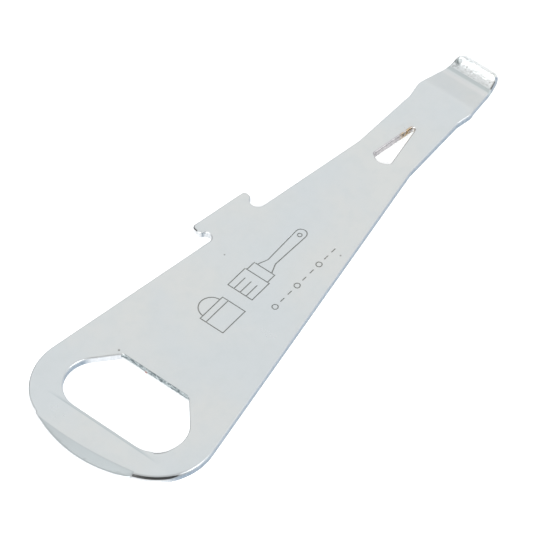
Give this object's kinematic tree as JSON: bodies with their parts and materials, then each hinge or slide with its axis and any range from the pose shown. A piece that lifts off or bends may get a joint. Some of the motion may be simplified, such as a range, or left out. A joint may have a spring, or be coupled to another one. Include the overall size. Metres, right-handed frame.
{
  "type": "painters multi tool",
  "caption": "Flat one-piece painter's tool in plated steel: wide bottle-opener end with a coined rim, hooked side tab, nail slot and a curled lid-lifting tip.",
  "frame": {"origin": "bottom centre of the tool's box: under the middle of its length, on the centre line, at the height of the tip's lowest line", "axes": "+X along the tool from the wide end to the curled tip, +Y to the side that carries the tab, +Z out of the engraved face"},
  "size_m": [0.1678, 0.0532, 0.0047],
  "materials": {
    "plated_steel": "satin, bright zinc plated"
  },
  "bodies": {
    "root": {"tool_plate": "plated_steel"}
  },
  "joints": []
}
